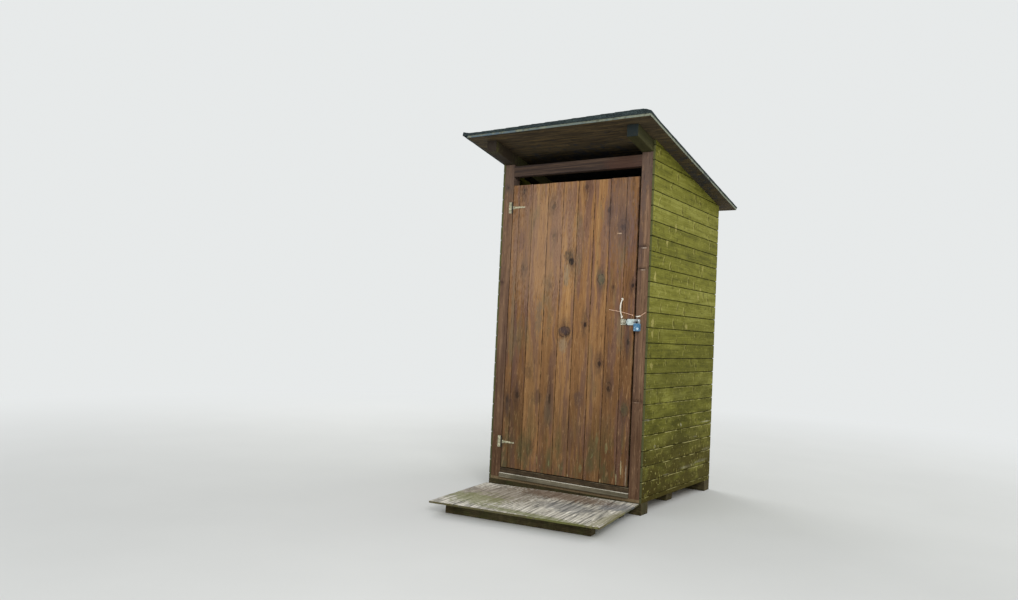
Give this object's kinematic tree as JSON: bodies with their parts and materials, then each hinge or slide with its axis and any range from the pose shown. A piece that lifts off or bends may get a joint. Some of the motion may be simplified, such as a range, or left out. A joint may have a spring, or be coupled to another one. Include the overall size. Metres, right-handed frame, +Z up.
{
  "type": "outhouse",
  "caption": "Small timber outhouse with a lean-to roof, boarded walls, a ledged and braced board door on T-hinges with a hasp, a padlock and a rope pull, and a low step.",
  "frame": {"origin": "on the ground, in the middle of the cabin's footprint, on the middle bearer's underside", "axes": "+Z up, the door faces -Y, +X to the right seen from the front"},
  "size_m": [1.312, 2.0597, 2.3049],
  "materials": {
    "cladding_wood": "weathered olive-brown stain, matt",
    "post_wood": "weathered red-brown stain, matt",
    "weathered_wood": "bare grey weathered timber, matt",
    "deck_wood": "bare board with a weathered grey edge, matt",
    "door_wood": "worn brown stain, matt",
    "frame_wood": "bare brown timber, matt",
    "felt": "bitumen roofing felt, mineral surface, matt",
    "hinge_metal": "dull grey-green, slightly rusty",
    "hasp_metal": "galvanised, dull",
    "lock_paint": "worn blue coating",
    "lock_steel": "worn plated steel",
    "rope": "dirty white rope",
    "twine": "reddish twine"
  },
  "bodies": {
    "cabin": {"front_bearer": "weathered_wood", "middle_bearer": "weathered_wood", "rear_bearer": "weathered_wood", "floor_deck": "frame_wood", "lower_sill": "weathered_wood", "threshold": "weathered_wood", "front_left_post": "post_wood", "front_right_post": "post_wood", "rear_left_post": "post_wood", "rear_right_post": "post_wood", "header": "post_wood", "rear_top_rail": "frame_wood", "left_bottom_rail": "frame_wood", "right_bottom_rail": "frame_wood", "rear_bottom_rail": "frame_wood", "left_stud": "frame_wood", "right_stud": "frame_wood", "rear_stud": "frame_wood", "left_cladding": "cladding_wood", "right_cladding": "cladding_wood", "rear_cladding": "cladding_wood", "left_rafter": "frame_wood", "right_rafter": "frame_wood", "roof_deck": "deck_wood", "roof_felt": "felt", "top_hinge_plate": "hinge_metal", "bottom_hinge_plate": "hinge_metal", "hasp_staple": "hasp_metal", "post_twine": "twine", "step_deck": "weathered_wood", "step_front_bearer": "weathered_wood", "step_rear_bearer": "weathered_wood"},
    "door": {"door_boards": "door_wood", "door_top_ledge": "door_wood", "door_middle_ledge": "door_wood", "door_bottom_ledge": "door_wood", "door_braces": "door_wood", "top_hinge_strap": "hinge_metal", "bottom_hinge_strap": "hinge_metal", "hasp_plate": "hasp_metal", "rope_handle": "rope", "door_twine": "twine"},
    "flap": {"hasp_flap": "hasp_metal", "padlock_body": "lock_paint", "padlock_shackle": "lock_steel"}
  },
  "joints": [
    {"name": "door_swing", "type": "hinge", "parent": "cabin", "child": "door", "pos_m": [-0.4535, -0.5695, 0], "axis": [0, 0, -1], "range_deg": [0, 150]},
    {"name": "hasp_swing", "type": "hinge", "parent": "door", "child": "flap", "pos_m": [0.402, -0.57075, 0], "axis": [0, 0, -1], "range_deg": [0, 90]}
  ]
}
